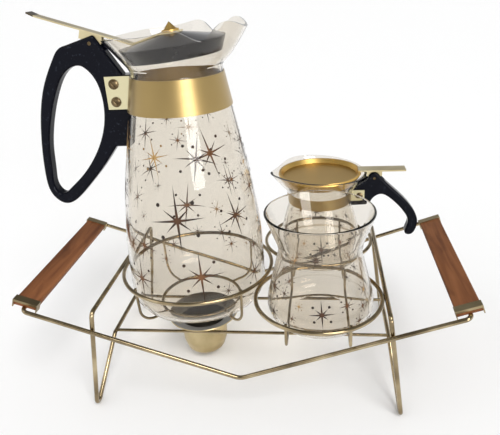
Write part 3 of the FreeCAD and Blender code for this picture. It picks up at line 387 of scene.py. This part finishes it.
def apply_modifier(piece, kind, **settings):
    only(piece)
    modifier = piece.modifiers.new(kind.lower(), kind)
    for name, value in settings.items():
        setattr(modifier, name, value)
    bpy.ops.object.modifier_apply(modifier=modifier.name)


def settle(piece):
    """Put a piece's place into its mesh."""
    only(piece)
    bpy.ops.object.transform_apply(location=True, rotation=True, scale=True)


def joined(pieces, name):
    only(*pieces)
    bpy.ops.object.join()
    piece = bpy.context.view_layer.objects.active
    piece.name = name
    piece.data.name = name
    settle(piece)
    return piece


def copy_of(source, name):
    """Separate copy with a mesh of its own."""
    piece = source.copy()
    piece.data = source.data.copy()
    piece.name = name
    piece.data.name = name
    bpy.context.collection.objects.link(piece)
    return piece


# A star is modelled flat, one unit from its middle to its longest tip. It has four double-ended rays and
# dots between them, each given as its angle in degrees and its reach. A dot's radius is in ray widths.
CARAFE_RAY_WIDTH = 0.042
POT_RAY_WIDTH = 0.062
STAR_RAYS = ((90, 1.0), (0, 0.84), (42, 0.50), (138, 0.50))
STAR_DOTS = ((44, 0.66), (137, 0.70), (222, 0.66), (318, 0.70))
RAY_CUTS = 5
DOT_RADIUS = 1.4
DOT_SIDES = 10

# A glass is looked at from this far outside its axis to find a star's place. The star is set down above
# the glass, wrapped round it at a hair's lift and then given the print's thickness.
LOOK_FROM = 0.2
STAR_HOVER = 0.5 * MM
PRINT_LIFT = 0.12 * MM
PRINT_THICKNESS = 0.10 * MM

# How many stars of each reach, in millimetres, are printed on the carafe and on each small pot
CARAFE_STARS = ((30.0, 3), (26.0, 5), (22.0, 4), (17.5, 7), (14.5, 7), (11.5, 8), (9.0, 8), (7.0, 8))
POT_STARS = ((13.0, 5), (9.0, 6), (6.5, 7), (5.0, 8))
INK_ORDER = ("dark", "copper", "dark", "gold", "copper")

# Share of two stars' reaches that is kept between them, tries for a place, and largest twist in radians
STAR_ROOM = 0.74
STAR_TRIES = 600
STAR_TWIST = 0.25

# Steps round, up and in twist from one try to the next, which spread the stars evenly
ROUND_STEP = 0.75488
UP_STEP = 0.56984
TWIST_STEP = 0.618

# The carafe's print runs from a height above its foot to a depth below its collar, a pot's print between
# two heights above its foot. The girth is the radius at which the stars' spacing is measured.
CARAFE_BAND = (14 * MM, 4 * MM)
CARAFE_GIRTH = 55 * MM
POT_BAND = (1 * MM, 52 * MM)
POT_GIRTH = 42 * MM


def star_pattern(ray_width):
    """Flat star. It is joined on to a ray, the only kind of piece here with a UV layer for the ink."""
    pieces = []
    for angle, reach in STAR_RAYS:
        bpy.ops.object.select_all(action="DESELECT")
        bpy.ops.mesh.primitive_circle_add(vertices=4, radius=1.0, fill_type="NGON")
        bpy.ops.object.mode_set(mode="EDIT")
        bpy.ops.mesh.select_all(action="SELECT")
        bpy.ops.mesh.subdivide(number_cuts=RAY_CUTS)
        bpy.ops.transform.resize(value=(reach, ray_width, 1.0))
        bpy.ops.object.mode_set(mode="OBJECT")
        ray = bpy.context.object
        ray.rotation_euler.z = math.radians(angle)
        settle(ray)
        pieces.append(ray)
    for angle, reach in STAR_DOTS:
        turn = math.radians(angle)
        place = (reach * math.cos(turn), reach * math.sin(turn), 0)
        bpy.ops.object.select_all(action="DESELECT")
        bpy.ops.mesh.primitive_circle_add(
            vertices=DOT_SIDES, radius=DOT_RADIUS * ray_width, fill_type="NGON",
            calc_uvs=False, location=place)
        settle(bpy.context.object)
        pieces.append(bpy.context.object)
    return joined(pieces[::-1], "star_pattern")


def star_on(glass, pattern, axis, place):
    """Copy of the star, laid on the outside of a glass at an angle round its axis."""
    angle, height, reach, twist = place
    out = Vector((math.cos(angle), math.sin(angle), 0))
    start = Vector((axis[0], axis[1], height)) + out * LOOK_FROM
    _, spot, normal, _ = glass.ray_cast(start, -out)
    across = Vector((0, 0, 1)).cross(normal).normalized()
    lean = Matrix((across, normal.cross(across), normal)).transposed().to_4x4()
    star = copy_of(pattern, "star")
    star.matrix_world = (Matrix.Translation(spot + normal * STAR_HOVER) @ lean
                         @ Matrix.Rotation(twist, 4, "Z") @ Matrix.Diagonal((reach, reach, 1, 1)))
    settle(star)
    apply_modifier(star, "SHRINKWRAP", target=glass, wrap_method="NEAREST_SURFACEPOINT",
                   wrap_mode="ABOVE_SURFACE", offset=PRINT_LIFT)
    return star


def scattered(counts, low, high, girth):
    """Angle, height, reach and twist of every star, the largest first, each clear of those before it."""
    placed = []
    tries = 0
    for reach in (reach * MM for reach, count in counts for _ in range(count)):
        for _ in range(STAR_TRIES):
            tries += 1
            angle = 2 * math.pi * (tries * ROUND_STEP % 1)
            height = low + reach + (high - low - 2 * reach) * (tries * UP_STEP % 1)
            gaps = []
            for other_angle, other_height, other_reach, _ in placed:
                turn = math.remainder(angle - other_angle, 2 * math.pi)
                away = math.hypot(turn * girth, height - other_height)
                gaps.append(away - STAR_ROOM * (reach + other_reach))
            if min(gaps, default=1.0) > 0:
                twist = 2 * STAR_TWIST * (tries * TWIST_STEP % 1) - STAR_TWIST
                placed.append((angle, height, reach, twist))
                break
    return placed


def print_stars(body, glass_name, axis, places, ray_width):
    """All stars of one glass, one piece for each ink."""
    glass = NODES[glass_name]
    pattern = star_pattern(ray_width)
    stars = {ink: [] for ink in INKS}
    for index, place in enumerate(places):
        ink = INK_ORDER[index % len(INK_ORDER)]
        stars[ink].append(star_on(glass, pattern, axis, place))
    for ink, group in stars.items():
        material, slot = INKS[ink]
        piece = joined(group, f"{body}_{ink}_stars")
        apply_modifier(piece, "SOLIDIFY", thickness=PRINT_THICKNESS, offset=1.0)
        dress(piece, material)
        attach(piece, body)
    bpy.data.objects.remove(pattern)


def all_stars():
    low = CARAFE_LOW[2] + CARAFE_BAND[0]
    high = COLLAR_LOW[2] - CARAFE_BAND[1]
    places = scattered(CARAFE_STARS, low, high, CARAFE_GIRTH)
    print_stars("carafe", "carafe_glass", (CARAFE_X, 0.0), places, CARAFE_RAY_WIDTH)
    for body, glass, axis in (("sugar_bowl", "sugar_glass", middle("sugar_glass")),
                              ("creamer", "creamer_glass", (CREAMER_X, CREAMER_Y))):
        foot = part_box(glass)[0][2]
        places = scattered(POT_STARS, foot + POT_BAND[0], foot + POT_BAND[1], POT_GIRTH)
        print_stars(body, glass, axis, places, POT_RAY_WIDTH)


# Screws with a slot across each head

SLOT_WIDTH = 1.1 * MM
SLOT_DEPTH = 0.8 * MM
CARAFE_SLOT_TURN = 55
CREAMER_SLOT_TURN = 30
WELD_WITHIN = 0.00001
SMOOTH_BELOW = 32


def slotted(node, body, centres, head, turn):
    """Copy of the screws with a slot sawn across each outer head."""
    low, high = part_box(node)
    screws = copy_of(NODES[node], node + "_slotted")
    only(screws)
    bpy.ops.object.mode_set(mode="EDIT")
    bpy.ops.mesh.select_all(action="SELECT")
    bpy.ops.mesh.remove_doubles(threshold=WELD_WITHIN)
    bpy.ops.object.mode_set(mode="OBJECT")
    for x, z in centres:
        for y in (low[1], high[1]):
            bpy.ops.object.select_all(action="DESELECT")
            bpy.ops.mesh.primitive_cube_add(size=1.0, location=(x, y, z))
            saw = bpy.context.object
            saw.scale = (2 * head, 2 * SLOT_DEPTH, SLOT_WIDTH)
            saw.rotation_euler.y = math.radians(turn)
            settle(saw)
            apply_modifier(screws, "BOOLEAN", object=saw, operation="DIFFERENCE", solver="EXACT")
            bpy.data.objects.remove(saw)
    only(screws)
    bpy.ops.object.shade_smooth_by_angle(angle=math.radians(SMOOTH_BELOW))
    dress(screws, BRONZE)
    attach(screws, body)
    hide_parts(node)


def all_screws():
    low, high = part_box("carafe_collar_screws")
    head = high[0] - low[0]
    x = (low[0] + high[0]) / 2
    centres = ((x, low[2] + head / 2), (x, high[2] - head / 2))
    slotted("carafe_collar_screws", "carafe", centres, head, CARAFE_SLOT_TURN)
    low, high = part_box("creamer_collar_screw")
    centres = (((low[0] + high[0]) / 2, (low[2] + high[2]) / 2),)
    slotted("creamer_collar_screw", "creamer", centres, high[0] - low[0], CREAMER_SLOT_TURN)


# Studio

FLOOR_SIZE = 60.0
FLOOR_HEIGHT = -0.0002

# How bright the surroundings are as light and, where metal mirrors them, overhead; the dimming towards
# overhead runs between two heights of a direction of length one
WORLD_LIGHT = 0.60
OVERHEAD = 0.25
DIMMING_HEIGHTS = (0.08, 0.5)

# Name, strength, softness, azimuth and elevation of each lamp, angles in degrees
LAMPS = (
    ("key_lamp", 1.35, 26, 32, 50),
    ("fill_lamp", 0.40, 40, -60, 40),
    ("strip_lamp", 1.3, 26, 32, 9),
)


def studio_floor():
    bpy.ops.object.select_all(action="DESELECT")
    bpy.ops.mesh.primitive_plane_add(size=FLOOR_SIZE, location=(0, 0, FLOOR_HEIGHT))
    floor = bpy.context.object
    floor.name = "studio_floor"
    pale = Finish("pale_floor", base_color=(0.94, 0.94, 0.94, 1.0), roughness=0.9, specular_ior_level=0.1)
    dress(floor, pale.material)


def studio_world():
    """Surroundings: white where they are seen, dim overhead where metal mirrors them, softer as light."""
    world = bpy.data.worlds.new("studio_world")
    bpy.context.scene.world = world
    world.use_nodes = True
    graph = Graph(world.node_tree)
    ray = {kind: graph.add("ShaderNodeLightPath", output=f"Is {kind} Ray")
           for kind in ("Camera", "Glossy", "Transmission")}
    towards = graph.add("ShaderNodeTexCoord", output="Generated")
    height = graph.add("ShaderNodeSeparateXYZ", inputs={"Vector": towards}, output="Z")
    low, high = DIMMING_HEIGHTS
    dimming = graph.add("ShaderNodeMapRange", {"interpolation_type": "SMOOTHSTEP"}, {
        "Value": height, "From Min": low, "From Max": high, "To Min": 0.0, "To Max": 1 - OVERHEAD})
    seen = ray["Camera"] + ray["Transmission"] + ray["Glossy"] > 0.5
    back = world.node_tree.nodes["Background"]
    graph.feed(back.inputs["Color"], (1, 1, 1, 1))
    graph.feed(back.inputs["Strength"], WORLD_LIGHT + seen * (1 - WORLD_LIGHT - ray["Glossy"] * dimming))


def lamp(name, strength, softness, azimuth, elevation):
    """Broad soft lamp; azimuth 0 is in front of the object and 90 to its right."""
    light = bpy.data.lights.new(name, "SUN")
    light.energy = strength
    light.angle = math.radians(softness)
    item = bpy.data.objects.new(name, light)
    bpy.context.collection.objects.link(item)
    turn = math.radians(azimuth)
    rise = math.radians(elevation)
    towards = Vector((math.sin(turn) * math.cos(rise), -math.cos(turn) * math.cos(rise), math.sin(rise)))
    item.rotation_euler = towards.to_track_quat("Z", "Y").to_euler()


def camera():
    """Camera at the photographer's place, turned by yaw, pitch and roll."""
    lens = bpy.data.cameras.new("photo_camera")
    lens.sensor_fit = "HORIZONTAL"
    lens.sensor_width = CAMERA_SENSOR
    lens.lens = CAMERA_LENS
    lens.clip_end = CAMERA_FAR
    item = bpy.data.objects.new("photo_camera", lens)
    bpy.context.collection.objects.link(item)
    yaw, pitch, roll = (math.radians(angle) for angle in (CAMERA_YAW, CAMERA_PITCH, CAMERA_ROLL))
    ahead = Vector((math.sin(yaw) * math.cos(pitch), math.cos(yaw) * math.cos(pitch), -math.sin(pitch)))
    level = Vector((math.cos(yaw), -math.sin(yaw), 0))
    above = level.cross(ahead)
    right = level * math.cos(roll) + above * math.sin(roll)
    up = above * math.cos(roll) - level * math.sin(roll)
    turned = Matrix((right, up, -ahead)).transposed().to_4x4()
    item.matrix_world = Matrix.Translation(CAMERA_PLACE) @ turned
    bpy.context.scene.camera = item


def studio():
    studio_floor()
    studio_world()
    for settings in LAMPS:
        lamp(*settings)
    bpy.context.scene.view_settings.view_transform = "Standard"
    camera()


dress_nodes()
all_stars()
all_screws()
studio()
